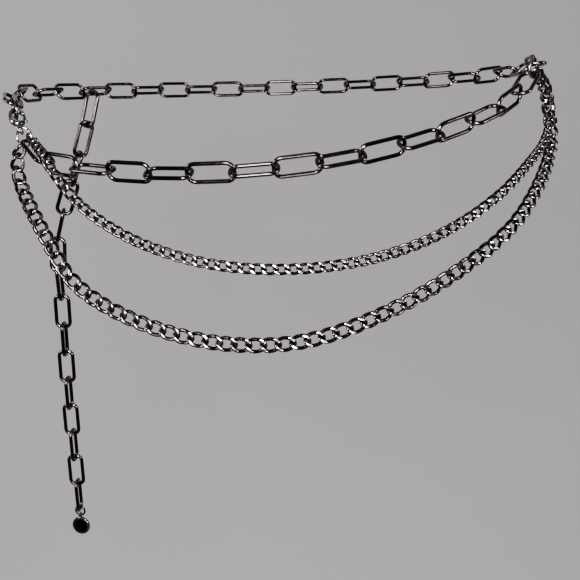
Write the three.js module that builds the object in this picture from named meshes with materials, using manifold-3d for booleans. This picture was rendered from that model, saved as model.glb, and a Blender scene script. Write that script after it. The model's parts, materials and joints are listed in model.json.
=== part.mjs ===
// Chain belt in its worn shape: one long-link chain across the front and round the back, two curb
// chain swags below it, a lobster clasp, and a tail of spare links with a plain disc charm.
// Millimetres. X runs to the right as seen from the front, Y to the back, Z up. The origin is the
// middle of the hips, level with the top of the clasp.
import * as THREE from 'three';
import { mergeVertices } from 'three/addons/utils/BufferGeometryUtils.js';
import Module from 'manifold-3d';

const wasm = await Module();
wasm.setup();

// General hips that the belt lies round: an oval that widens from the waist down to the hip line.
const hips = {
  waistHeight: 25, waistHalfWidth: 153, waistHalfDepth: 104,
  hipHeight: -95, hipHalfWidth: 190, hipHalfDepth: 122,
};

const gap = 0.35; // between pieces that touch on the real belt
const squareSide = 0.9; // side of a square wire that stands for a round one, for each unit of diameter

// Wire and link widths. A link's length follows from its chain's pitch. "fuse" is how far the links
// of one stretch sink into each other, "seam" how far they part between two stretches, and "play" how
// far they part where they hold a ring.
const longLink = { width: 12.5, wire: 2, fuse: 0.2, seam: 0.55, play: 1.1, endFlat: 4.4, cornerRun: 4.6 };
const largeCurb = { width: 8.2, wire: 1.65, fuse: 0.06, seam: 1.5, play: 1.4, twist: 1.2, endShare: 0.42, endWidth: 8.6 };
const smallCurb = { width: 5.8, wire: 1.2, fuse: 0.06, seam: 1.6, play: 1.8, twist: 1.35, endShare: 0.42, endWidth: 7.4 };

// The two rings that gather the strands. "faces" turns a ring about the vertical from square to -Y.
const leftRing = { angle: -55, height: -16.5, off: 7, outer: 12, wire: 1.5, faces: -25 };
const rightRing = { angle: 66.5, height: 22, off: 8, outer: 12.6, wire: 1.5, faces: 54 };

// Lobster clasp, from the centre of its eye loop to the top of its nose. "lean" turns the body on
// its eye loop, about the clasp's length.
const clasp = {
  length: 18.5, width: 9.6, thickness: 3.8, eyeOuter: 7, eyeWire: 1.5, wall: 2.5, mouth: 13.6, lean: -50,
};

// Disc charm: a jump ring through the tail's last link, a small loop round that ring, and the disc.
const charm = { ringOuter: 9.4, ringWire: 1.5, loopOuter: 4.8, loopWire: 1, discRadius: 7, discThickness: 1.8 };

// Where each strand takes hold of its ring, in degrees round the ring from its right-hand side.
const hold = {
  leftClasp: 124, leftMiddle: 8, leftFront: -38, leftLower: -121,
  rightBack: 33, rightFront: -130, rightMiddle: -50, rightLower: -18,
};

// Routes. "angle" goes round the hips from the front, right-hand side positive; "height" is Z;
// "off" is how far the strand's middle stands off the hips.
const frontRoute = [
  { angle: -47, height: -28.2, off: 6.5 },
  { angle: -34, height: -31.5, off: 6.5 },
  { angle: -20, height: -32.8, off: 6.5 },
  { angle: -5, height: -31.2, off: 6.5 },
  { angle: 11, height: -25.5, off: 6.5 },
  { angle: 27, height: -15.6, off: 6.5 },
  { angle: 45, height: -2, off: 6.5 },
  { angle: 58, height: 10, off: 7 },
];
const backRoute = [
  { angle: 82, height: 25, off: 6.5 },
  { angle: 110, height: 22, off: 6.5 },
  { angle: 140, height: 18.5, off: 6.5 },
  { angle: 180, height: 14.5, off: 6.5 },
  { angle: 220, height: 12, off: 6.5 },
  { angle: 250, height: 10, off: 6.5 },
  { angle: 275, height: 7, off: 6.5 },
];
const middleRoute = [
  { angle: -46.5, height: -22.5, off: 10.5 },
  { angle: -42.5, height: -28.8, off: 12.5 },
  { angle: -40.3, height: -36, off: 10 },
  { angle: -37.5, height: -46.5, off: 4.5 },
  { angle: -32, height: -56.5, off: 3 },
  { angle: -22, height: -69, off: 3 },
  { angle: -10, height: -78.2, off: 3 },
  { angle: 3, height: -80.4, off: 3 },
  { angle: 16, height: -75.8, off: 3 },
  { angle: 29, height: -64.5, off: 3 },
  { angle: 43, height: -47.6, off: 3 },
  { angle: 56, height: -31.5, off: 3 },
  { angle: 69, height: -18.5, off: 5 },
  { angle: 75.5, height: -5, off: 9 },
  { angle: 75, height: 7, off: 9.5 },
];
const lowerRoute = [
  { angle: -57.4, height: -30.5, off: 5.5 },
  { angle: -56.6, height: -39, off: 3.5 },
  { angle: -51, height: -51, off: 3.5 },
  { angle: -43.5, height: -68, off: 3.5 },
  { angle: -34, height: -92.5, off: 3.5 },
  { angle: -22, height: -110, off: 3.5 },
  { angle: -8, height: -119.6, off: 3.5 },
  { angle: 5, height: -117.8, off: 3.5 },
  { angle: 19, height: -102.2, off: 3.5 },
  { angle: 33, height: -82, off: 3.5 },
  { angle: 46, height: -63.6, off: 3.5 },
  { angle: 58, height: -44.6, off: 3.5 },
  { angle: 69, height: -30.5, off: 4 },
  { angle: 79.5, height: -17, off: 7 },
  { angle: 83.5, height: -2, off: 9.5 },
  { angle: 80.5, height: 10, off: 9.5 },
];
const tailRoute = [
  { angle: -124.2, height: -22, off: 7 },
  { angle: -122.3, height: -60, off: 7 },
  { angle: -120.8, height: -100, off: 7.5 },
  { angle: -121, height: -146, off: 8 },
  { angle: -121, height: -200, off: 8 },
  { angle: -121.4, height: -262, off: 8 },
  { angle: -122, height: -323.5, off: 8 },
];

// Number of links, number of nodes they are shared out to, turn of the first link about the strand,
// and how many links each end takes to turn from its ring to the strand's own lie.
const strands = {
  front: { link: longLink, links: 15, nodes: 4, turn: -65, ease: 3 },
  back: { link: longLink, links: 26, nodes: 6, turn: 25, ease: 3 },
  middle: { link: smallCurb, links: 71, nodes: 8, turn: 0, ease: 16 },
  lower: { link: largeCurb, links: 67, nodes: 8, turn: 0, ease: 26 },
  tail: { link: longLink, links: 15, nodes: 4, turn: -32, ease: 5 },
};
const tailCarrier = 19; // which link of the back chain the tail hangs from, counted from 0

const up = new THREE.Vector3(0, 0, 1);
const radians = THREE.MathUtils.degToRad;

function hipSizes(height) {
  const share = (hips.waistHeight - height) / (hips.waistHeight - hips.hipHeight);
  const t = THREE.MathUtils.clamp(share, 0, 1);
  return {
    halfWidth: THREE.MathUtils.lerp(hips.waistHalfWidth, hips.hipHalfWidth, t),
    halfDepth: THREE.MathUtils.lerp(hips.waistHalfDepth, hips.hipHalfDepth, t),
  };
}

// Level direction that points straight out of the hips.
function outOfHips(angle, height) {
  const { halfWidth, halfDepth } = hipSizes(height);
  const a = radians(angle);
  return new THREE.Vector3(Math.sin(a) / halfWidth, -Math.cos(a) / halfDepth, 0).normalize();
}

function hipPoint({ angle, height, off }) {
  const { halfWidth, halfDepth } = hipSizes(height);
  const a = radians(angle);
  const point = new THREE.Vector3(halfWidth * Math.sin(a), -halfDepth * Math.cos(a), height);
  return point.addScaledVector(outOfHips(angle, height), off);
}

// Geometry to solid and back

function toSolid(geometry) {
  const plain = geometry.clone();
  plain.deleteAttribute('normal');
  plain.deleteAttribute('uv');
  const merged = mergeVertices(plain, 1e-4);
  const vertProperties = new Float32Array(merged.attributes.position.array);
  const triVerts = new Uint32Array(merged.index.array);
  return new wasm.Manifold(new wasm.Mesh({ numProp: 3, vertProperties, triVerts }));
}

function toGeometry(solid) {
  const mesh = solid.getMesh();
  const geometry = new THREE.BufferGeometry();
  geometry.setAttribute('position', new THREE.BufferAttribute(mesh.vertProperties, mesh.numProp));
  geometry.setIndex(new THREE.BufferAttribute(mesh.triVerts, 1));
  geometry.computeVertexNormals();
  return geometry;
}

// A closed loop of square wire through the given corners, counter-clockwise seen from the loop's +Z:
// a torus whose points are moved onto the wire's own centreline.
function wireLoop(corners, side) {
  const geometry = new THREE.TorusGeometry(1, 0.25, 4, corners.length);
  const position = geometry.attributes.position;
  const uv = geometry.attributes.uv;
  const cornerReach = side / Math.SQRT2;
  const point = new THREE.Vector3();
  for (let i = 0; i < position.count; i += 1) {
    const step = Math.round(uv.getX(i) * corners.length) % corners.length;
    const before = corners[(step + corners.length - 1) % corners.length];
    const here = corners[step];
    const after = corners[(step + 1) % corners.length];
    const into = here.clone().sub(before).normalize();
    const away = after.clone().sub(here).normalize();
    const along = into.add(away).normalize();
    const outward = new THREE.Vector3().crossVectors(along, up).normalize();
    const upward = new THREE.Vector3().crossVectors(outward, along);
    const mitre = 1 / along.dot(away);
    const around = Math.PI / 4 + Math.round(uv.getY(i) * 4) * (Math.PI / 2);
    point.copy(here);
    point.addScaledVector(outward, cornerReach * mitre * Math.cos(around));
    point.addScaledVector(upward, cornerReach * Math.sin(around));
    position.setXYZ(i, point.x, point.y, point.z);
  }
  return geometry;
}

// Links

// Long link: straight sides and ends rounded in three runs. "reach" is half its centreline's length.
function longLinkCorners(link, reach) {
  const halfWidth = (link.width - link.wire * squareSide) / 2;
  const halfFlat = link.endFlat / 2;
  const shoulder = reach - link.cornerRun;
  const quarter = [[reach, halfFlat], [shoulder, halfWidth]];
  const upper = [...quarter, ...quarter.map(([x, y]) => [-x, y]).reverse()];
  const lower = upper.map(([x, y]) => [-x, -y]);
  return [...upper, ...lower].map(([x, y]) => new THREE.Vector3(x, y, 0));
}

// Curb link: a six-cornered oval twisted along its length, so that the chain lies flat. A strand's end
// links are left untwisted, which gives their rings room.
function curbLinkCorners(link, reach, twist) {
  const halfWidth = ((twist ? link.width : link.endWidth) - link.wire * squareSide) / 2;
  const halfEnd = halfWidth * link.endShare;
  const rise = twist * link.wire;
  const half = [[reach, halfEnd, rise], [0, halfWidth, 0], [-reach, halfEnd, -rise]];
  return [...half, ...half.map(([x, y, z]) => [-x, -y, z])].map((corner) => new THREE.Vector3(...corner));
}

// One link between two joints of its strand. "along" to "out" is the link's own frame.
function linkSolid(link, { from, to, frame, twist }) {
  const reach = from.distanceTo(to) / 2 - link.fuse / 2 + (link.wire * squareSide) / 2;
  const corners = link.twist ? curbLinkCorners(link, reach, twist) : longLinkCorners(link, reach);
  const geometry = wireLoop(corners, link.wire * squareSide);
  const middle = from.clone().add(to).multiplyScalar(0.5);
  const place = new THREE.Matrix4().makeBasis(frame.along, frame.across, frame.out).setPosition(middle);
  return toSolid(geometry.applyMatrix4(place));
}

// Strands

// A smooth route through a table's rows, from one fixed point to another where they are given.
function makeRoute(rows, start, end) {
  const stations = rows.map((row) => ({ point: hipPoint(row), angle: row.angle, height: row.height }));
  if (start) stations.unshift({ ...stations[0], point: start });
  if (end) stations.push({ ...stations.at(-1), point: end });
  const curve = new THREE.CatmullRomCurve3(stations.map((s) => s.point), false, 'centripetal');
  const outAt = (t) => {
    const place = t * (stations.length - 1);
    const i = Math.min(Math.floor(place), stations.length - 2);
    const angle = THREE.MathUtils.lerp(stations[i].angle, stations[i + 1].angle, place - i);
    return outOfHips(angle, THREE.MathUtils.lerp(stations[i].height, stations[i + 1].height, place - i));
  };
  return { curve, outAt };
}

// Steps along a route in equal straight strides and gives the joints, one more than the strides.
function stride(route, count, pitch) {
  const samples = 6000;
  const joints = [{ point: route.curve.getPoint(0), t: 0 }];
  for (let i = 1; i <= samples && joints.length <= count; i += 1) {
    const t = i / samples;
    const point = route.curve.getPoint(t);
    if (point.distanceTo(joints.at(-1).point) >= pitch) joints.push({ point, t });
  }
  return joints;
}

// The pitch at which the given number of links just fills the route.
function fitPitch(route, count) {
  let low = 1;
  let high = 60;
  for (let round = 0; round < 24; round += 1) {
    const pitch = (low + high) / 2;
    if (stride(route, count, pitch).length > count) low = pitch;
    else high = pitch;
  }
  return low;
}

function frameFor(along, out, turn) {
  const flatOut = out.clone().addScaledVector(along, -out.dot(along)).normalize();
  const across = new THREE.Vector3().crossVectors(flatOut, along);
  const frame = { along, across: across.clone(), out: flatOut.clone() };
  frame.across.applyAxisAngle(along, turn);
  frame.out.applyAxisAngle(along, turn);
  return frame;
}

// The least turn about the strand that brings a link's width in line with a given axis.
function turnTo(frame, axis) {
  const turn = Math.atan2(axis.dot(frame.out), axis.dot(frame.across));
  return turn - Math.PI * Math.round(turn / Math.PI);
}

// Builds a strand's links. "startAxis" and "endAxis" are what its end links pass round.
function strandLinks(strand, route, startAxis, endAxis) {
  const pitch = fitPitch(route, strand.links);
  const joints = stride(route, strand.links, pitch);
  const quarterTurns = strand.link.twist ? 0 : Math.PI / 2;
  const perNode = Math.ceil(strand.links / strand.nodes);
  const links = [];
  for (let i = 0; i < strand.links; i += 1) {
    const from = joints[i].point.clone();
    const to = joints[i + 1].point.clone();
    const along = to.clone().sub(from).normalize();
    const out = route.outAt((joints[i].t + joints[i + 1].t) / 2);
    const turn = radians(strand.turn) + i * quarterTurns;
    links.push({ from, to, along, out, turn, node: Math.floor(i / perNode) });
  }
  const easeFrom = (end, axis, order) => {
    const turned = axis ? turnTo(frameFor(end.along, end.out, end.turn), axis) : 0;
    order.slice(0, strand.ease).forEach((link, i) => {
      link.turn += turned * (1 - i / strand.ease);
    });
  };
  easeFrom(links[0], startAxis, links);
  easeFrom(links.at(-1), endAxis, [...links].reverse());
  links.forEach((link, i) => {
    const first = i === 0;
    const last = i === strand.links - 1;
    const opens = first || links[i - 1].node !== link.node;
    const closes = last || links[i + 1].node !== link.node;
    const { fuse, seam, play } = strand.link;
    const seamSlack = (seam + fuse) / 2;
    const ringSlack = play + fuse / 2;
    if (opens) link.from.addScaledVector(link.along, first ? -ringSlack : -seamSlack);
    if (closes) link.to.addScaledVector(link.along, last ? ringSlack : seamSlack);
    link.frame = frameFor(link.along, link.out, link.turn);
    link.twist = first || last ? 0 : strand.link.twist;
  });
  return { links, pitch };
}

// Rings

function ringFrame(ring) {
  const out = new THREE.Vector3(0, -1, 0).applyAxisAngle(up, radians(ring.faces));
  return { middle: hipPoint(ring), right: new THREE.Vector3().crossVectors(up, out), out };
}

// A point inside the ring's wire, where a link that leaves at this angle bears on it.
function ringEdge(ring, degrees, radius) {
  const frame = ringFrame(ring);
  const a = radians(degrees);
  return frame.middle.clone()
    .addScaledVector(frame.right, radius * Math.cos(a))
    .addScaledVector(up, radius * Math.sin(a));
}

function innerEdge(ring, degrees) {
  return ringEdge(ring, degrees, ring.outer / 2 - ring.wire);
}

function roundLoop(outer, wire, steps) {
  const radius = (outer - wire) / 2;
  const corners = [];
  for (let i = 0; i < steps; i += 1) {
    const a = ((i + 0.5) * 2 * Math.PI) / steps;
    corners.push(new THREE.Vector3(radius * Math.cos(a), radius * Math.sin(a), 0));
  }
  return wireLoop(corners, wire * squareSide);
}

// Materials: dark plated steel throughout, a little brighter on the clasp and the disc.

function darkMetal(name, color, roughness) {
  const material = new THREE.MeshStandardMaterial({ color, roughness, metalness: 1 });
  material.name = name;
  return material;
}

const belt = new THREE.Group();

function addPiece(name, geometry, material) {
  const mesh = new THREE.Mesh(geometry, material);
  mesh.name = name;
  belt.add(mesh);
  return mesh;
}

function addStrand(name, strand, color, made) {
  for (let node = 0; node < strand.nodes; node += 1) {
    const own = made.links.filter((link) => link.node === node);
    const solids = own.map((link) => linkSolid(strand.link, link));
    const joined = solids.reduce((whole, solid) => whole.add(solid));
    addPiece(`${name}_${node + 1}`, toGeometry(joined), darkMetal(name, color, 0.22));
  }
}

// Lobster clasp, drawn in its own plane: the eye is at the origin and the nose at the top.

function claspPlate(shape, depth, bevel) {
  const geometry = new THREE.ExtrudeGeometry(shape, {
    depth: depth - 2 * bevel, bevelEnabled: true, bevelThickness: bevel, bevelSize: bevel,
    bevelOffset: -bevel, bevelSegments: 1, curveSegments: 3, steps: 1,
  });
  geometry.translate(0, 0, -(depth - 2 * bevel) / 2);
  return toGeometry(toSolid(geometry));
}

function claspBodyPlate() {
  const half = clasp.width / 2;
  const inner = half - clasp.wall;
  const top = clasp.length;
  const throat = 6.9;
  const base = clasp.eyeOuter / 2 - clasp.eyeWire * 0.5;
  const shape = new THREE.Shape();
  shape.moveTo(half - 0.6, throat - 1);
  shape.quadraticCurveTo(2.6, base + 0.6, 1.5, base);
  shape.lineTo(-1.5, base);
  shape.quadraticCurveTo(-2.6, base + 0.6, -half + 0.6, throat - 1);
  shape.quadraticCurveTo(-half, throat + 2, -half, throat + 4.4);
  shape.quadraticCurveTo(-half, top, 0, top);
  shape.quadraticCurveTo(half - 0.4, top, half - 0.2, clasp.mouth);
  shape.lineTo(inner - 0.1, clasp.mouth + 0.4);
  shape.quadraticCurveTo(inner - 0.2, top - clasp.wall, 0, top - clasp.wall);
  shape.quadraticCurveTo(-inner, top - clasp.wall, -inner, throat + 4.4);
  shape.quadraticCurveTo(-inner, throat, 0, throat - 0.2);
  shape.lineTo(1.3, throat - 0.4);
  return claspPlate(shape, clasp.thickness, 0.6);
}

function claspLeverPlate() {
  const half = clasp.width / 2;
  const inner = half - clasp.wall;
  const top = clasp.mouth - gap;
  const foot = 6.5;
  const shape = new THREE.Shape();
  shape.moveTo(1.8, foot + 0.25);
  shape.lineTo(half - 0.6, foot - 0.35);
  shape.quadraticCurveTo(half + 1.9, foot + 0.6, half + 0.9, foot + 2);
  shape.quadraticCurveTo(half, foot + 2.8, half, foot + 4);
  shape.lineTo(half - 0.2, top);
  shape.lineTo(inner + 0.2, top + 0.2);
  shape.quadraticCurveTo(inner + 0.1, foot + 2, 1.8, foot + 0.25);
  return claspPlate(shape, clasp.thickness - 1.4, 0.4);
}

// The clasp hangs on the left ring and points up to the link that it holds.
function claspFrame() {
  const eye = ringEdge(leftRing, hold.leftClasp, (leftRing.outer - leftRing.wire) / 2);
  const aim = hipPoint({ angle: -65.5, height: 2.5, off: 7 });
  const along = aim.sub(eye).normalize();
  const side = ringFrame(leftRing).right;
  const eyeOut = side.addScaledVector(along, -side.dot(along)).normalize();
  const thick = eyeOut.clone().applyAxisAngle(along, radians(clasp.lean));
  return { eye, along, eyeOut, thick };
}

function claspPlace(thick) {
  const across = new THREE.Vector3().crossVectors(hooked.along, thick);
  return new THREE.Matrix4().makeBasis(across, hooked.along, thick).setPosition(hooked.eye);
}

// Assembly

const hooked = claspFrame();
const bodyPlace = claspPlace(hooked.thick);
const claspColor = 0x2c2a2e;
const longColor = 0x29262b;
const curbColor = 0x302d32;
const eyeLoop = toSolid(roundLoop(clasp.eyeOuter, clasp.eyeWire, 10).applyMatrix4(claspPlace(hooked.eyeOut)));
const claspBody = toSolid(claspBodyPlate().applyMatrix4(bodyPlace)).add(eyeLoop);
addPiece('clasp_body', toGeometry(claspBody), darkMetal('clasp', claspColor, 0.16));
addPiece('clasp_lever', claspLeverPlate().applyMatrix4(bodyPlace), darkMetal('clasp', claspColor, 0.2));

for (const [name, ring] of [['left_ring', leftRing], ['right_ring', rightRing]]) {
  const frame = ringFrame(ring);
  const place = new THREE.Matrix4().makeBasis(frame.right, up, frame.out).setPosition(frame.middle);
  addPiece(name, roundLoop(ring.outer, ring.wire, 14).applyMatrix4(place), darkMetal('ring', longColor, 0.2));
}

const leftAxis = ringFrame(leftRing).out;
const rightAxis = ringFrame(rightRing).out;

const frontPath = makeRoute(frontRoute, innerEdge(leftRing, hold.leftFront), innerEdge(rightRing, hold.rightFront));
addStrand('front_chain', strands.front, longColor, strandLinks(strands.front, frontPath, leftAxis, rightAxis));

const nosePoint = hooked.eye.clone().addScaledVector(hooked.along, clasp.length - clasp.wall);
const backPath = makeRoute(backRoute, innerEdge(rightRing, hold.rightBack), nosePoint);
const backMade = strandLinks(strands.back, backPath, rightAxis, hooked.thick);
addStrand('back_chain', strands.back, longColor, backMade);

const middlePath = makeRoute(
  middleRoute, innerEdge(leftRing, hold.leftMiddle), innerEdge(rightRing, hold.rightMiddle));
addStrand('middle_swag', strands.middle, curbColor, strandLinks(strands.middle, middlePath, leftAxis, rightAxis));

const lowerPath = makeRoute(
  lowerRoute, innerEdge(leftRing, hold.leftLower), innerEdge(rightRing, hold.rightLower));
addStrand('lower_swag', strands.lower, curbColor, strandLinks(strands.lower, lowerPath, leftAxis, rightAxis));

// The tail hangs from the lower side of a back chain link, over the left hip.
const carrier = backMade.links[tailCarrier];
const downward = carrier.frame.across.z < 0 ? 1 : -1;
const tailStart = carrier.from.clone().add(carrier.to).multiplyScalar(0.5)
  .addScaledVector(carrier.frame.across, downward * (longLink.width / 2 - longLink.wire));
const tailPath = makeRoute(tailRoute, tailStart, null);
const tailMade = strandLinks(strands.tail, tailPath, carrier.frame.out, null);
addStrand('tail_chain', strands.tail, longColor, tailMade);

// The charm hangs plumb under the end of the tail and swings round the last link's bottom wire.
const lastLink = tailMade.links.at(-1);
const pivot = lastLink.to.clone().addScaledVector(lastLink.along, (longLink.wire * squareSide - longLink.fuse) / 2);
const charmAxis = lastLink.frame.across.clone().setZ(0).normalize();
const charmSide = new THREE.Vector3().crossVectors(up, charmAxis);
const pivotRoom = (longLink.wire * squareSide) / Math.SQRT2 + gap;
const ringDrop = charm.ringOuter / 2 - charm.ringWire - pivotRoom;
const ringMiddle = pivot.clone().addScaledVector(up, -ringDrop);
const ringPlace = new THREE.Matrix4().makeBasis(charmSide, up, charmAxis).setPosition(ringMiddle);
addPiece('charm_ring', roundLoop(charm.ringOuter, charm.ringWire, 12).applyMatrix4(ringPlace),
  darkMetal('charm', longColor, 0.2));

const loopMiddle = ringMiddle.clone().addScaledVector(up, -(charm.ringOuter - charm.ringWire) / 2);
const discMiddle = loopMiddle.clone().addScaledVector(up, -(charm.loopOuter / 2 + charm.discRadius - 0.6));
const loopPlace = new THREE.Matrix4()
  .makeBasis(charmAxis, up, charmSide.clone().negate())
  .setPosition(loopMiddle);
const loopSolid = toSolid(roundLoop(charm.loopOuter, charm.loopWire, 10).applyMatrix4(loopPlace));
const rim = 0.5;
const halfThick = charm.discThickness / 2;
const discProfile = [
  new THREE.Vector2(0, -halfThick), new THREE.Vector2(charm.discRadius - rim, -halfThick),
  new THREE.Vector2(charm.discRadius, -halfThick + rim), new THREE.Vector2(charm.discRadius, halfThick - rim),
  new THREE.Vector2(charm.discRadius - rim, halfThick), new THREE.Vector2(0, halfThick),
];
const discPlace = new THREE.Matrix4()
  .makeBasis(charmSide.clone().negate(), charmAxis, up)
  .setPosition(discMiddle);
const disc = toGeometry(toSolid(new THREE.LatheGeometry(discProfile, 24)));
const discSolid = toSolid(disc.applyMatrix4(discPlace));
addPiece('charm_disc', toGeometry(discSolid.add(loopSolid)), darkMetal('charm', claspColor, 0.14));

export default belt;
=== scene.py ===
import json
import math

import bpy
import numpy as np
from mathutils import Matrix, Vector


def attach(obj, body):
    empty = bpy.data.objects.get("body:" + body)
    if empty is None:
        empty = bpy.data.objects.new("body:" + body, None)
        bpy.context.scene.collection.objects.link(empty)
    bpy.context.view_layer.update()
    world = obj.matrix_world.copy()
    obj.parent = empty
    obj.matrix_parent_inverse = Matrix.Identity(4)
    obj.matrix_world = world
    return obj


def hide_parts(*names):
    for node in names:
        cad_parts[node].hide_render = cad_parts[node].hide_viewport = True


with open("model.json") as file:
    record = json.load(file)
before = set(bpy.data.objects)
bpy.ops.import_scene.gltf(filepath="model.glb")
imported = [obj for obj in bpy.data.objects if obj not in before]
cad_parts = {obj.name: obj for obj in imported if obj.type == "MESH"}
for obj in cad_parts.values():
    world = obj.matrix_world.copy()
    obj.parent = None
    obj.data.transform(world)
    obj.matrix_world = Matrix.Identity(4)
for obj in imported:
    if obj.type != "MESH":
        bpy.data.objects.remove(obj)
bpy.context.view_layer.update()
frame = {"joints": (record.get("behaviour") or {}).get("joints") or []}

mm = 0.001  # the belt's sizes are in millimetres, the studio's in metres
up = np.array([0.0, 0.0, 1.0])

# The oval that the belt lies round, wider from the waist down, as in the part's source

hips = {
    "waistHeight": 25, "waistHalfWidth": 153, "waistHalfDepth": 104,
    "hipHeight": -95, "hipHalfWidth": 190, "hipHalfDepth": 122,
}


def unit(v):
    return v / np.linalg.norm(v)


def turned(v, axis, angle):
    axis = unit(axis)
    c, s = math.cos(angle), math.sin(angle)
    return v * c + np.cross(axis, v) * s + axis * np.dot(axis, v) * (1 - c)


def hipSizes(height):
    t = (hips["waistHeight"] - height) / (hips["waistHeight"] - hips["hipHeight"])
    t = min(max(t, 0.0), 1.0)
    halfWidth = hips["waistHalfWidth"] + t * (hips["hipHalfWidth"] - hips["waistHalfWidth"])
    halfDepth = hips["waistHalfDepth"] + t * (hips["hipHalfDepth"] - hips["waistHalfDepth"])
    return halfWidth, halfDepth


def outOfHips(angle, height):
    halfWidth, halfDepth = hipSizes(height)
    a = math.radians(angle)
    return unit(np.array([math.sin(a) / halfWidth, -math.cos(a) / halfDepth, 0.0]))


def hipPoint(angle, height, off):
    halfWidth, halfDepth = hipSizes(height)
    a = math.radians(angle)
    onHips = np.array([halfWidth * math.sin(a), -halfDepth * math.cos(a), height])
    return onHips + off * outOfHips(angle, height)


# Smooth routes and the links laid along them

routing = {
    "steps": 6000,        # samples along a route
    "window": 1800,       # samples searched for the next joint
    "pitches": (1, 60),   # shortest and longest pitch tried
    "halvings": 24,       # times that range is halved
}


def smoothPoint(points, t):
    # centripetal Catmull-Rom, open at both ends
    last = len(points) - 1
    i = min(int(last * t), last - 1)
    w = last * t - i
    p1, p2 = points[i], points[i + 1]
    p0 = points[i - 1] if i > 0 else 2 * points[0] - points[1]
    p3 = points[i + 2] if i + 2 <= last else 2 * points[last] - points[last - 1]
    g0, g1, g2 = [math.sqrt(np.linalg.norm(b - a)) for a, b in ((p0, p1), (p1, p2), (p2, p3))]
    t1 = ((p1 - p0) / g0 - (p2 - p0) / (g0 + g1) + (p2 - p1) / g1) * g1
    t2 = ((p2 - p1) / g1 - (p3 - p1) / (g1 + g2) + (p3 - p2) / g2) * g1
    c2 = -3 * p1 + 3 * p2 - 2 * t1 - t2
    c3 = 2 * p1 - 2 * p2 + t1 + t2
    return p1 + t1 * w + c2 * w * w + c3 * w * w * w


def makeRoute(rows, start, end):
    # rows are angle round the oval, height, distance off it
    stations = [(start, rows[0][0], rows[0][1])]
    stations += [(hipPoint(*row), row[0], row[1]) for row in rows]
    if end is not None:
        stations.append((end, rows[-1][0], rows[-1][1]))
    points = [station[0] for station in stations]
    steps = routing["steps"]
    samples = np.array([smoothPoint(points, i / steps) for i in range(steps + 1)])
    return {"samples": samples, "stations": stations}


def outAt(route, t):
    stations = route["stations"]
    place = t * (len(stations) - 1)
    i = min(int(place), len(stations) - 2)
    w = place - i
    angle = stations[i][1] + w * (stations[i + 1][1] - stations[i][1])
    height = stations[i][2] + w * (stations[i + 1][2] - stations[i][2])
    return outOfHips(angle, height)


def jointsAlong(route, count, pitch):
    samples = route["samples"]
    joints = [0]
    i = 0
    while len(joints) <= count:
        ahead = samples[i + 1:i + routing["window"]] - samples[i]
        far = np.nonzero((ahead * ahead).sum(axis=1) >= pitch * pitch)[0]
        if not len(far):
            break
        i = i + 1 + int(far[0])
        joints.append(i)
    return joints


def pitchFor(route, count):
    # the pitch at which the links just fill the route
    low, high = routing["pitches"]
    for _ in range(routing["halvings"]):
        pitch = (low + high) / 2
        if len(jointsAlong(route, count, pitch)) > count:
            low = pitch
        else:
            high = pitch
    return low


def linkFrame(along, out, turn):
    flatOut = unit(out - np.dot(out, along) * along)
    across = np.cross(flatOut, along)
    return turned(across, along, turn), turned(flatOut, along, turn)


def leastTurn(link, axis):
    # the least turn that brings a link's width in line with what it hangs on
    across, out = linkFrame(link["along"], link["out"], link["turn"])
    turn = math.atan2(np.dot(axis, out), np.dot(axis, across))
    return turn - math.pi * round(turn / math.pi)


def layLinks(chain, start, end, startAxis, endAxis):
    route = makeRoute(chain["rows"], start, end)
    count = chain["links"]
    pitch = pitchFor(route, count)
    joints = jointsAlong(route, count, pitch)
    links = []
    for i in range(count):
        here, there = route["samples"][joints[i]], route["samples"][joints[i + 1]]
        out = outAt(route, (joints[i] + joints[i + 1]) / 2 / routing["steps"])
        out = unit(out + np.array([0.0, -chain["toFront"], 0.0]))
        links.append({"start": here, "end": there, "along": unit(there - here), "out": out,
                      "turn": math.radians(chain["turn"] + i * chain["nextTurn"])})
    ends = ((startAxis, links, chain["ease"][0]), (endAxis, links[::-1], chain["ease"][1]))
    for axis, order, ease in ends:
        if axis is None:
            continue
        total = leastTurn(order[0], axis)
        print("turned by", round(math.degrees(total)), "degrees over", ease, "links")
        for i, link in enumerate(order[:ease]):
            link["turn"] += total * (1 - i / ease)
    startPlay, endPlay = chain["play"]
    links[0]["start"] = links[0]["start"] - startPlay * links[0]["along"]
    links[-1]["end"] = links[-1]["end"] + endPlay * links[-1]["along"]
    for link in links:
        link["across"], link["face"] = linkFrame(link["along"], link["out"], link["turn"])
    print("laid", count, "links, pitch", round(pitch, 2), "mm")
    return links


# Round wire swept along a closed or open line

def wireSections(line, closed, radii, wides, flat, sides):
    # radii lie in the line's plane, wides along the flat direction
    before = np.roll(line, 1, axis=0)
    after = np.roll(line, -1, axis=0)
    if not closed:
        before[0], after[-1] = line[0], line[-1]
    along = after - before
    along /= np.linalg.norm(along, axis=1)[:, None]
    sideways = np.cross(along, flat)
    sideways /= np.linalg.norm(sideways, axis=1)[:, None]
    over = np.cross(sideways, along)
    a = np.linspace(0, 2 * math.pi, sides, endpoint=False)
    return (line[:, None, :]
            + radii[:, None, None] * np.cos(a)[None, :, None] * sideways[:, None, :]
            + wides[:, None, None] * np.sin(a)[None, :, None] * over[:, None, :])


def gridFaces(rows, sides, closed):
    faces = []
    for i in range(rows if closed else rows - 1):
        j = (i + 1) % rows
        for k in range(sides):
            m = (k + 1) % sides
            faces.append((i * sides + k, i * sides + m, j * sides + m, j * sides + k))
    return faces


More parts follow.
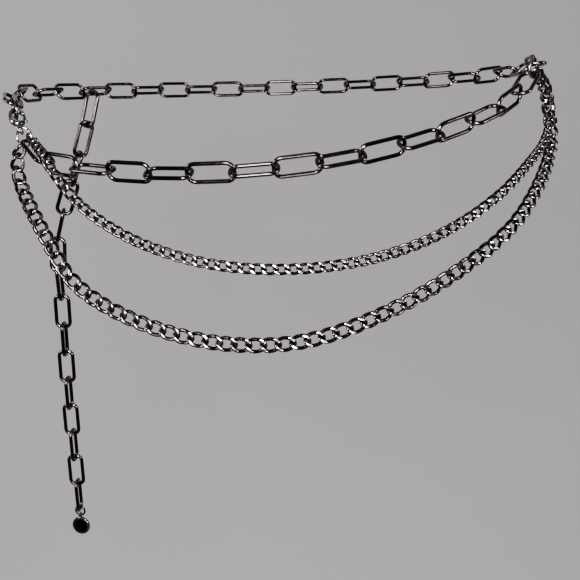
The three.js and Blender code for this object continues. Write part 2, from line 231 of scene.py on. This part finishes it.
def turnedFaces(rows, steps, endPoint):
    # a turned shape: one middle point, then its rows, then a second middle point if it has one
    faces = []
    for i in range(rows - 1):
        near, far = 1 + i * steps, 1 + (i + 1) * steps
        for k in range(steps):
            m = (k + 1) % steps
            faces.append((near + k, near + m, far + m, far + k))
    end = 1 + rows * steps
    for k in range(steps):
        m = (k + 1) % steps
        faces.append((0, 1 + m, 1 + k))
        if endPoint:
            faces.append((end, end - steps + k, end - steps + m))
    return faces


class Shape:
    # gathers the points and faces of one piece, with how worn (on curb flats and the disc rim, how lit
    # by a painted highlight) and how warm each point is
    def __init__(self):
        self.points, self.faces, self.wear, self.tone = [], [], [], []
        self.count = 0

    def add(self, points, faces, wear, tone=0.5):
        points = points.reshape(-1, 3)
        self.points.append(points)
        self.faces.extend(tuple(k + self.count for k in face) for face in faces)
        self.wear.append(np.full(len(points), wear))
        self.tone.append(np.full(len(points), tone))
        self.count += len(points)

    def build(self, name, material, body, nodes):
        mesh = bpy.data.meshes.new(name)
        mesh.from_pydata((np.concatenate(self.points) * mm).tolist(), [], self.faces)
        mesh.update()
        for layer, values in (("wear", self.wear), ("tone", self.tone)):
            data = mesh.attributes.new(layer, "FLOAT", "POINT")
            data.data.foreach_set("value", np.concatenate(values).astype(np.float32))
        mesh.polygons.foreach_set("use_smooth", [True] * len(mesh.polygons))
        mesh.materials.append(material)
        piece = bpy.data.objects.new(name, mesh)
        bpy.context.collection.objects.link(piece)
        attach(piece, body)
        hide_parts(*nodes)
        print("made", name, len(self.faces), "faces")


# Finishes: dark plating, clouded and smeared, rubbed bare where the wear layer says, which on curb
# flats and the disc rim is a painted highlight instead

gunmetal = {
    "deep": (0.006, 0.005, 0.007), "light": (0.020, 0.017, 0.020), "warm": (0.034, 0.024, 0.025),
    "bareAndSheen": (0.20, 0.17, 0.155), "wear": 0.30, "roughLow": 0.07, "roughHigh": 0.17,
}
# on curb links the bare colour also lightens the filed flats, a painted highlight
curbGunmetal = {**gunmetal, "light": (0.036, 0.031, 0.035), "bareAndSheen": (0.42, 0.39, 0.37), "wear": 0.62}
claspGunmetal = {**gunmetal, "light": (0.19, 0.182, 0.188), "bareAndSheen": (0.5, 0.48, 0.46), "wear": 0.5}
nickel = {
    **gunmetal, "deep": (0.07, 0.066, 0.068), "light": (0.34, 0.325, 0.315),
    "bareAndSheen": (0.58, 0.55, 0.53), "wear": 0.6,
}
# its bare colour also paints the highlight on the disc rim
blackNickel = {
    **gunmetal, "deep": (0.004, 0.004, 0.005), "light": (0.010, 0.009, 0.011),
    "warm": (0.014, 0.012, 0.013), "bareAndSheen": (0.26, 0.25, 0.25), "wear": 0.8,
    "roughLow": 0.06, "roughHigh": 0.12,
}
grain = {  # scale, detail and roughness of each noise, alike on every metal
    "clouds": (160.0, 3.0, 0.55), "smears": (420.0, 4.0, 0.6), "rubbing": (1400.0, 4.0, 0.6),
    "scratches": (5200.0, 3.0, 0.6), "dimples": (900.0, 2.0, 0.5),
    # the stretch of each noise that is spread out to its full range
    "cloudBand": (0.35, 0.65), "smearBand": (0.3, 0.7), "rubbingBand": (0.4, 0.6),
    "leastRubbing": 0.1, "warmShare": 0.35, "bareRoughness": 0.10,
    "dimpleShare": 0.8, "bump": 0.07, "bumpDepth": 0.0002,
}


def plating(name, look):
    material = bpy.data.materials.new(name)
    material.use_nodes = True
    nodes, join = material.node_tree.nodes, material.node_tree.links.new
    nodes.clear()
    output = nodes.new("ShaderNodeOutputMaterial")
    shader = nodes.new("ShaderNodeBsdfPrincipled")
    join(shader.outputs["BSDF"], output.inputs["Surface"])
    shader.inputs["Metallic"].default_value = 1.0
    place = nodes.new("ShaderNodeTexCoord").outputs["Object"]

    def noise(scale, detail, rough):
        node = nodes.new("ShaderNodeTexNoise")
        node.inputs["Scale"].default_value = scale
        node.inputs["Detail"].default_value = detail
        node.inputs["Roughness"].default_value = rough
        join(place, node.inputs["Vector"])
        return node.outputs["Fac"]

    def span(value, band, toLow, toHigh):
        node = nodes.new("ShaderNodeMapRange")
        for i, number in enumerate((*band, toLow, toHigh), start=1):
            node.inputs[i].default_value = number
        join(value, node.inputs[0])
        return node.outputs["Result"]

    def combine(kind, first, second):
        node = nodes.new("ShaderNodeMath")
        node.operation = kind
        join(first, node.inputs[0])
        if isinstance(second, float):
            node.inputs[1].default_value = second
        else:
            join(second, node.inputs[1])
        return node.outputs["Value"]

    def blend(amount, first, second):
        node = nodes.new("ShaderNodeMix")
        node.data_type = "RGBA"
        join(amount, node.inputs["Factor"])
        colours = [socket for socket in node.inputs if socket.type == "RGBA"]
        for socket, value in zip(colours, (first, second)):
            if isinstance(value, tuple):
                socket.default_value = (*value, 1.0)
            else:
                join(value, socket)
        return [socket for socket in node.outputs if socket.type == "RGBA"][0]

    def layer(title):
        node = nodes.new("ShaderNodeAttribute")
        node.attribute_name = title
        return node.outputs["Fac"]

    cloudy = span(noise(*grain["clouds"]), grain["cloudBand"], 0.0, 1.0)
    tint = blend(cloudy, look["deep"], look["light"])
    toned = blend(combine("MULTIPLY", layer("tone"), grain["warmShare"]), tint, look["warm"])
    rubbing = span(noise(*grain["rubbing"]), grain["rubbingBand"], grain["leastRubbing"], 1.0)
    # this amount brings in the bare colour: rubbed-bare wear, and on curb flats and the disc rim a
    # painted highlight
    wornAndSheen = combine("MULTIPLY", combine("MULTIPLY", layer("wear"), rubbing), look["wear"])
    join(blend(wornAndSheen, toned, look["bareAndSheen"]), shader.inputs["Base Color"])

    smears = span(noise(*grain["smears"]), grain["smearBand"], look["roughLow"], look["roughHigh"])
    rougher = combine("MULTIPLY", wornAndSheen, grain["bareRoughness"])
    join(combine("ADD", smears, rougher), shader.inputs["Roughness"])

    bump = nodes.new("ShaderNodeBump")
    bump.inputs["Strength"].default_value = grain["bump"]
    bump.inputs["Distance"].default_value = grain["bumpDepth"]
    dimples = combine("MULTIPLY", noise(*grain["dimples"]), grain["dimpleShare"])
    join(combine("ADD", noise(*grain["scratches"]), dimples), bump.inputs["Height"])
    join(bump.outputs["Normal"], shader.inputs["Normal"])
    return material


longPlating = plating("gunmetalLong", gunmetal)
curbPlating = plating("gunmetalCurb", curbGunmetal)
claspPlating = plating("gunmetalClasp", claspGunmetal)
ringPlating = plating("nickelRing", nickel)
discPlating = plating("blackNickel", blackNickel)
print("mixed 5 platings")

# Rings that gather the strands; "faces" turns a ring from square to the front

leftRing = {
    "angle": -55, "height": -16.5, "off": 7, "outer": 12, "wire": 1.5, "faces": -25,
    "wear": 0.35, "plating": ringPlating,
}
rightRing = {
    "angle": 66.5, "height": 22, "off": 8, "outer": 12.6, "wire": 1.5, "faces": 54,
    "wear": 0.35, "plating": claspPlating,
}
loopLook = {
    "steps": 64, "sides": 18,
    "closingStep": 8, "closing": 0.88,  # the wire is thinner where a loop was closed
}


def ringFrame(ring):
    out = turned(np.array([0.0, -1.0, 0.0]), up, math.radians(ring["faces"]))
    return hipPoint(ring["angle"], ring["height"], ring["off"]), np.cross(up, out), out


def ringEdge(ring, degrees, radius):
    middle, right, _ = ringFrame(ring)
    a = math.radians(degrees)
    return middle + radius * math.cos(a) * right + radius * math.sin(a) * up


def innerEdge(ring, degrees):
    # degrees go round the ring from its right-hand side
    return ringEdge(ring, degrees, ring["outer"] / 2 - ring["wire"])


def addLoop(shape, middle, right, upward, outer, wire, wear):
    steps, sides = loopLook["steps"], loopLook["sides"]
    a = np.linspace(0, 2 * math.pi, steps, endpoint=False)
    radius = (outer - wire) / 2
    line = middle + radius * (np.cos(a)[:, None] * right + np.sin(a)[:, None] * upward)
    radii = np.full(steps, wire / 2)
    radii[loopLook["closingStep"]] *= loopLook["closing"]
    flat = np.cross(right, upward)
    shape.add(wireSections(line, True, radii, radii, flat, sides), gridFaces(steps, sides, True), wear)


def makeRing(name, ring, node):
    middle, right, _ = ringFrame(ring)
    loop = Shape()
    addLoop(loop, middle, right, up, ring["outer"], ring["wire"], ring["wear"])
    loop.build(name, ring["plating"], "belt", [node])


makeRing("leftRing", leftRing, "left_ring")
makeRing("rightRing", rightRing, "right_ring")
_, leftSide, leftAxis = ringFrame(leftRing)
rightAxis = ringFrame(rightRing)[2]

# Lobster clasp: an eye loop on the left ring, the body turned on it, its nose through a back link.
# "hold" is in degrees round the ring, "toward" the place on the oval that the clasp points at.
# Bars lie in the clasp's own plane: x, y, radius in the plane, radius across the thickness.

clasp = {
    "hold": 124, "toward": (-65.5, 2.5, 7), "lean": -50, "noseReach": 16.0,
    "eyeOuter": 7.0, "eyeWire": 1.5, "eyeWear": 0.3,
    "hook": {"steps": 60, "wear": 0.25, "rows": [
        (2.4, 5.6, 1.3, 1.7), (1.0, 5.0, 1.9, 2.0), (-1.0, 5.2, 2.0, 2.1), (-2.6, 6.8, 1.9, 2.05),
        (-3.3, 9.4, 1.6, 2.0), (-3.35, 12.2, 1.5, 1.9), (-2.5, 15.2, 1.5, 1.8),
        (-0.3, 16.9, 1.5, 1.7), (2.2, 16.0, 1.35, 1.6), (3.5, 14.3, 1.15, 1.4),
    ]},
    "foot": {"steps": 6, "wear": 0.0, "rows": [(0.0, 2.9, 1.3, 1.3), (0.0, 4.4, 1.8, 1.7)]},
    "lever": {"steps": 26, "wear": 0.3, "rows": [
        (2.5, 7.1, 1.0, 1.15), (3.6, 8.6, 0.95, 1.15), (3.75, 10.6, 0.85, 1.1), (3.7, 12.6, 0.85, 1.0),
    ]},
    "thumbKnob": {"steps": 8, "wear": 0.5, "rows": [(3.5, 7.9, 0.8, 1.0), (4.7, 7.7, 0.75, 0.9)]},
    "sides": 20, "capSteps": 5, "capLength": 0.8, "capTip": 0.04,
}
eye = ringEdge(leftRing, clasp["hold"], (leftRing["outer"] - leftRing["wire"]) / 2)
claspAlong = unit(hipPoint(*clasp["toward"]) - eye)
eyeOut = unit(leftSide - np.dot(leftSide, claspAlong) * claspAlong)
claspThick = turned(eyeOut, claspAlong, math.radians(clasp["lean"]))
claspAcross = np.cross(claspAlong, claspThick)


def inClasp(points):
    return points @ np.array([claspAcross, claspAlong, claspThick]) + eye


def roundEnds(rows):
    # swells each open end of a swept bar up from a small cap
    head, tail = [], []
    for i in range(clasp["capSteps"]):
        t = i / clasp["capSteps"] * math.pi / 2
        for row, ahead, cap in ((rows[0], rows[1], head), (rows[-1], rows[-2], tail)):
            away = unit(row[:2] - ahead[:2]) * row[2] * clasp["capLength"] * math.cos(t)
            cap.append(np.concatenate([row[:2] + away, row[2:] * max(math.sin(t), clasp["capTip"])]))
    return np.array(head + list(rows) + tail[::-1])


def addBar(shape, bar):
    stations, steps = [np.array(row) for row in bar["rows"]], bar["steps"]
    rows = roundEnds([smoothPoint(stations, i / steps) for i in range(steps + 1)])
    line = inClasp(np.column_stack([rows[:, :2], np.zeros(len(rows))]))
    sides = clasp["sides"]
    points = wireSections(line, False, rows[:, 2], rows[:, 3], claspThick, sides)
    faces = gridFaces(len(rows), sides, False)
    faces.append(tuple(range(sides))[::-1])
    faces.append(tuple((len(rows) - 1) * sides + k for k in range(sides)))
    shape.add(points, faces, bar["wear"])


claspBody = Shape()
eyeRight = unit(np.cross(claspAlong, eyeOut))
addLoop(claspBody, eye, eyeRight, claspAlong, clasp["eyeOuter"], clasp["eyeWire"], clasp["eyeWear"])
addBar(claspBody, clasp["hook"])
addBar(claspBody, clasp["foot"])
claspBody.build("claspBody", claspPlating, "belt", ["clasp_body"])

claspLever = Shape()
addBar(claspLever, clasp["lever"])
addBar(claspLever, clasp["thumbKnob"])
claspLever.build("claspLever", claspPlating, "belt", ["clasp_lever"])

# Links: long ones with rounded corners, and curb links twisted and filed flat on both faces

linkLook = {
    "cornerSteps": 11, "curbSteps": 56,
    "squash": 0.98,                     # under 1, an oval leaner than an ellipse
    "weld": 0.9,                        # the wire is thinner where its two ends meet
    "wearFrom": 0.72, "wearEdge": 1.5,  # the ends wear, from this share of half a link on
    "besideFlats": 0.4,                 # wear of a curb link's ends, beside the painted highlight on its flats
    "flatCrown": 0.12, "flatEdge": 0.06,
}


def longLinkLine(reach, halfWidth, corner):
    # straight sides, well rounded corners and a short flat end, counter-clockwise
    steps = linkLook["cornerSteps"]
    straight, rest = reach - corner, halfWidth - corner
    a = np.linspace(0, math.pi / 2, steps)
    upper = np.stack([straight + corner * np.cos(a), rest + corner * np.sin(a)], axis=1)
    lower = upper[::-1] * np.array([1, -1])
    x = np.linspace(straight, -straight, steps)[1:-1]
    top = np.stack([x, np.full(len(x), halfWidth)], axis=1)
    right = np.concatenate([lower, upper])
    flat = np.concatenate([right, top, -right, -top])
    return np.column_stack([flat, np.zeros(len(flat))])


def curbLinkLine(reach, halfWidth, rise):
    # an oval that rises and falls twice on its way round
    t = np.linspace(0, 2 * math.pi, linkLook["curbSteps"], endpoint=False)
    power = 1 / linkLook["squash"]
    x = reach * np.sign(np.cos(t)) * np.abs(np.cos(t)) ** power
    y = halfWidth * np.sign(np.sin(t)) * np.abs(np.sin(t)) ** power
    return np.column_stack([x, y, rise * np.sin(2 * t)])


def addLinks(shape, chain, links):
    dice = np.random.default_rng(chain["seed"])
    wire, rise, sides = chain["wire"], chain["rise"], chain["sides"]
    halfWidth = (chain["width"] - wire) / 2
    for link in links:
        reach = np.linalg.norm(link["end"] - link["start"]) / 2 + wire / 2
        if rise:
            line = curbLinkLine(reach, halfWidth, rise)
        else:
            line = longLinkLine(reach, halfWidth, chain["corner"])
        radii = np.full(len(line), wire / 2)
        radii[len(line) // 4 + chain["weldStep"]] *= linkLook["weld"]
        sections = wireSections(line, True, radii, radii, up, sides)
        wearFrom = linkLook["wearFrom"]
        endWear = (np.abs(sections[:, :, 0]) / reach - wearFrom) / (1 - wearFrom)
        wear = np.clip(endWear, 0, 1) ** linkLook["wearEdge"]
        if rise:
            flat = rise + wire * (0.5 - chain["filed"])
            heights = sections[:, :, 2]
            over = np.abs(heights) - flat
            filed = np.sign(heights) * (flat + linkLook["flatCrown"] * over)
            sections[:, :, 2] = np.where(over > 0, filed, heights)
            # the filed flats take the bare colour at full strength: a painted highlight, carried in
            # the wear layer
            shine = np.clip(over / linkLook["flatEdge"], 0, 1)
            wear = np.maximum(linkLook["besideFlats"] * wear, shine)
        rock = math.radians(dice.normal(0, chain["rock"]))
        across = turned(link["across"], link["along"], rock)
        face = turned(link["face"], link["along"], rock)
        basis = np.array([link["along"], across, face])
        placed = sections.reshape(-1, 3) @ basis + (link["start"] + link["end"]) / 2
        shape.add(placed, gridFaces(len(line), sides, True), wear.reshape(-1), dice.random())


def ringToRing(chain):
    left, right = chain["hold"]
    start, end = innerEdge(leftRing, left), innerEdge(rightRing, right)
    return layLinks(chain, start, end, leftAxis, rightAxis)


def buildStrand(name, chain, links):
    shape = Shape()
    addLinks(shape, chain, links)
    node, count = chain["nodes"]
    nodes = [node + "_" + str(i + 1) for i in range(count)]
    shape.build(name, chain["plating"], "belt", nodes)


# Strands. Rows are angle round the oval, height, distance off it. "hold" is where a strand takes
# hold, in degrees round the left and the right ring from a ring's right-hand side; "ease" is how
# many links turn from a ring to the strand's own lie, and "play" how far the end links reach past.
# "weldStep" counts from a quarter of the way round a link, and "rock" is how unevenly links lie.

longChain = {
    "wire": 2.3, "width": 12.7, "corner": 4.3, "rise": 0, "weldStep": 4, "sides": 16, "rock": 1.5,
    "toFront": 0.0, "nextTurn": 90, "plating": longPlating, "slot": "long_chain",
}
curbChain = {
    "weldStep": 0, "sides": 20, "rock": 6, "toFront": 0.9, "turn": -13, "nextTurn": 0,
    "play": (0.2, 0.2), "plating": curbPlating,
}

frontChain = {
    **longChain, "links": 15, "nodes": ("front_chain", 4), "turn": -65, "ease": (3, 3),
    "play": (0.15, 0.15), "hold": (-38, -130), "seed": 3,
    "rows": [
        (-47, -28.2, 6.5), (-34, -31.5, 6.5), (-20, -32.8, 6.5), (-5, -31.2, 6.5),
        (11, -25.5, 6.5), (27, -15.6, 6.5), (45, -2, 6.5), (58, 10, 7),
    ],
}
buildStrand("frontChain", frontChain, ringToRing(frontChain))

backChain = {
    **longChain, "links": 26, "nodes": ("back_chain", 6), "turn": 25, "ease": (3, 3),
    "play": (0.15, 0.5), "hold": 33, "seed": 5,  # from the right ring to the clasp's nose
    "rows": [
        (82, 25, 6.5), (110, 22, 6.5), (140, 18.5, 6.5), (180, 14.5, 6.5), (220, 12, 6.5),
        (250, 10, 6.5), (275, 7, 6.5),
    ],
}
nose = eye + claspAlong * clasp["noseReach"]
backStart = innerEdge(rightRing, backChain["hold"])
backLinks = layLinks(backChain, backStart, nose, rightAxis, claspThick)
buildStrand("backChain", backChain, backLinks)

middleSwag = {
    **curbChain, "wire": 1.75, "width": 6.2, "rise": 0.94, "filed": 0.18, "links": 71,
    "nodes": ("middle_swag", 8), "ease": (11, 9), "hold": (8, -50), "seed": 7, "slot": "small_curb",
    "rows": [
        (-46.5, -22.5, 10.5), (-42.5, -28.8, 12.5), (-40.3, -36, 10), (-37.5, -46.5, 4.5),
        (-32, -56.5, 3), (-22, -69, 3), (-10, -78.2, 3), (3, -80.4, 3), (16, -75.8, 3),
        (29, -64.5, 3), (43, -47.6, 3), (56, -31.5, 3), (69, -18.5, 5), (75.5, -5, 9), (75, 7, 9.5),
    ],
}
buildStrand("middleSwag", middleSwag, ringToRing(middleSwag))

lowerSwag = {
    **curbChain, "wire": 2.15, "width": 8.6, "rise": 1.16, "filed": 0.16, "links": 67,
    "nodes": ("lower_swag", 8), "ease": (10, 16), "hold": (-121, -18), "seed": 11,
    "slot": "large_curb",
    "rows": [
        (-57.4, -30.5, 5.5), (-56.6, -39, 3.5), (-51, -51, 3.5), (-43.5, -68, 3.5),
        (-34, -92.5, 3.5), (-22, -110, 3.5), (-8, -119.6, 3.5), (5, -117.8, 3.5),
        (19, -102.2, 3.5), (33, -82, 3.5), (46, -63.6, 3.5), (58, -44.6, 3.5), (69, -30.5, 4),
        (79.5, -17, 7), (83.5, -2, 9.5), (80.5, 10, 9.5),
    ],
}
buildStrand("lowerSwag", lowerSwag, ringToRing(lowerSwag))

tailChain = {
    **longChain, "wire": 2.9, "width": 13.3, "links": 15, "nodes": ("tail_chain", 4), "turn": -43,
    "ease": (5, 5), "play": (0.15, 1.0), "seed": 13,
    "carrier": 19,  # the back chain link that the tail hangs from
    "rows": [
        (-124.2, -22, 7), (-122.3, -60, 7), (-120.8, -100, 7.5), (-121, -146, 8), (-121, -200, 8),
        (-121.4, -262, 8), (-122, -323.5, 8),
    ],
}
carrier = backLinks[tailChain["carrier"]]
downward = 1 if carrier["across"][2] < 0 else -1
lowerSide = downward * (longChain["width"] / 2 - longChain["wire"]) * carrier["across"]
tailStart = (carrier["start"] + carrier["end"]) / 2 + lowerSide
tailLinks = layLinks(tailChain, tailStart, None, carrier["face"], None)

# The jump ring turns on the end wire of the tail's last link, where the frame puts its joint

charmSwing = [joint for joint in frame["joints"] if joint["name"] == "charm_swing"][0]
ringHinge = np.array(charmSwing["pos_m"]) / mm
charmAxis = unit(np.array(charmSwing["axis"]))
lastLink = tailLinks[-1]
lastLink["end"] = ringHinge - lastLink["along"] * tailChain["wire"] / 2
buildStrand("tailChain", tailChain, tailLinks)

# Charm: a jump ring, and a plain disc with a small loop and a raised rim, the rim lightened by a
# painted highlight

jumpRing = {"outer": 9.7, "wire": 1.7, "wear": 0.35, "drop": 1.577}  # drop of its middle
disc = {
    "radius": 7.8, "thickness": 2.3, "sink": 0.6, "loopOuter": 4.8, "loopWire": 1.1, "loopWear": 0.3,
    "rim": 0.9, "rimSlope": 0.25, "dish": 0.12, "edge": 0.55, "edgeDrop": 0.02,
    "faceRings": (0.0, 1.5, 3.0, 4.5, 5.6), "edgeRings": 9, "steps": 72,
    "wearFrom": 5.4, "wearOver": 1.4,
}
charmSide = np.cross(up, charmAxis)
ringMiddle = ringHinge - up * jumpRing["drop"]
charmRing = Shape()
addLoop(charmRing, ringMiddle, charmSide, up, jumpRing["outer"], jumpRing["wire"], jumpRing["wear"])
charmRing.build("charmRing", longPlating, "ring", ["charm_ring"])


def discProfile():
    # radius and height from the middle of the front face, round the rim, to the middle of the back
    radius, halfThick = disc["radius"], disc["thickness"] / 2
    face = halfThick - disc["dish"]
    front = [(r, face) for r in disc["faceRings"]]
    front.append((radius - disc["rim"] - disc["rimSlope"], face))
    front.append((radius - disc["rim"], halfThick - disc["edgeDrop"]))
    edge = []
    for a in np.linspace(math.pi / 2, -math.pi / 2, disc["edgeRings"]):
        edge.append((radius - disc["edge"] + disc["edge"] * math.cos(a), halfThick * math.sin(a)))
    back = [(r, -z) for r, z in front[::-1]]
    return front + edge + back


def makeDisc():
    loopMiddle = ringMiddle - up * (jumpRing["outer"] - jumpRing["wire"]) / 2
    middle = loopMiddle - up * (disc["loopOuter"] / 2 + disc["radius"] - disc["sink"])
    shape = Shape()
    addLoop(shape, loopMiddle, charmAxis, up, disc["loopOuter"], disc["loopWire"], disc["loopWear"])
    profile = discProfile()
    steps = disc["steps"]
    points, radii = [], []
    for r, z in profile:
        for k in range(steps if r > 0 else 1):  # a single point in the middle of each face
            a = 2 * math.pi * k / steps
            points.append(middle + r * math.cos(a) * charmSide + r * math.sin(a) * up - z * charmAxis)
            radii.append(r)
    # the rim takes the bare colour as a painted highlight, from this radius outward
    rimSheen = np.clip((np.array(radii) - disc["wearFrom"]) / disc["wearOver"], 0, 1)
    shape.add(np.array(points), turnedFaces(len(profile) - 2, steps, True), rimSheen)
    shape.build("charmDisc", discPlating, "disc", ["charm_disc"])


makeDisc()

# Studio: a pale round bowl, lamps, dim air and the camera

bowl = {
    "radius": 2.6, "floor": -1.25, "curve": 1.5, "height": 3.0, "steps": 96, "curveSteps": 12,
    "grey": (0.45, 0.442, 0.438), "roughness": 0.9,
}


def makeBowl():
    radius, curve, steps = bowl["radius"], bowl["curve"], bowl["steps"]
    profile = [(radius - curve, 0.0)]
    for i in range(1, bowl["curveSteps"] + 1):
        a = i / bowl["curveSteps"] * math.pi / 2
        profile.append((radius - curve * (1 - math.sin(a)), curve * (1 - math.cos(a))))
    profile.append((radius, bowl["height"]))
    points = [(0, 0, bowl["floor"])]
    for r, z in profile:
        for k in range(steps):
            a = 2 * math.pi * k / steps
            points.append((r * math.cos(a), r * math.sin(a), z + bowl["floor"]))
    mesh = bpy.data.meshes.new("studioBowl")
    faces = turnedFaces(len(profile), steps, False)
    mesh.from_pydata(points, [], [face[::-1] for face in faces])  # faces look inwards
    mesh.polygons.foreach_set("use_smooth", [True] * len(mesh.polygons))
    paper = bpy.data.materials.new("palePaper")
    paper.use_nodes = True
    shader = paper.node_tree.nodes["Principled BSDF"]
    shader.inputs["Base Color"].default_value = (*bowl["grey"], 1.0)
    shader.inputs["Roughness"].default_value = bowl["roughness"]
    mesh.materials.append(paper)
    studioBowl = bpy.data.objects.new("studioBowl", mesh)
    bpy.context.collection.objects.link(studioBowl)
    print("made studioBowl", len(faces), "faces")


makeBowl()

white, warmWhite = (1.0, 1.0, 1.0), (1.0, 0.98, 0.95)
lamps = {  # place, target, size across, power, colour
    "flash": ((-0.07, -0.62, 0.06), (0, 0, -0.06), 0.18, 36.0, warmWhite),
    "lowCard": ((0.14, -0.66, -0.16), (0, 0, -0.06), 0.12, 5.0, white),
    "kickLeft": ((-0.75, -0.35, 0.13), (-0.1, 0, -0.05), 0.2, 11.0, white),
    "kickRight": ((0.78, -0.32, 0.13), (0.1, 0, -0.05), 0.2, 12.0, white),
    "wallLight": ((-1.3, 1.0, 1.3), (-1.0, 2.6, 0.4), 1.0, 12.0, white),
    "softLeft": ((-1.5, -0.3, 1.3), (-0.3, 2.0, 0.2), 1.5, 3.0, white),
    "top": ((0.0, 0.0, 2.3), (0, 0, 0), 1.8, 10.0, white),
}
for name, (place, target, size, power, colour) in lamps.items():
    data = bpy.data.lights.new(name, "AREA")
    data.shape, data.size, data.energy, data.color = "DISK", size, power, colour
    lamp = bpy.data.objects.new(name, data)
    lamp.location = place
    lamp.rotation_mode = "QUATERNION"
    lamp.rotation_quaternion = (Vector(target) - Vector(place)).to_track_quat("-Z", "Y")
    bpy.context.collection.objects.link(lamp)
print("hung", len(lamps), "lamps")

air = {"colour": (0.86, 0.86, 0.88, 1.0), "strength": 0.30}
world = bpy.data.worlds.new("studioAir")
world.use_nodes = True
background = world.node_tree.nodes["Background"]
background.inputs["Color"].default_value = air["colour"]
background.inputs["Strength"].default_value = air["strength"]
bpy.context.scene.world = world

cameraLook = {  # focal length and picture width in pixels of the photograph
    "place": (0.008, -0.5, 0.0), "down": 13.6, "sensor": 36, "focalLength": 757, "pictureWidth": 580,
    "clipStart": 0.02,
}
cameraData = bpy.data.cameras.new("camera")
cameraData.sensor_width = cameraLook["sensor"]
cameraData.lens = cameraLook["sensor"] * cameraLook["focalLength"] / cameraLook["pictureWidth"]
cameraData.clip_start = cameraLook["clipStart"]
camera = bpy.data.objects.new("camera", cameraData)
camera.location = cameraLook["place"]
camera.rotation_euler = (math.radians(90 - cameraLook["down"]), 0, 0)
bpy.context.collection.objects.link(camera)
bpy.context.scene.camera = camera
print("set the camera")
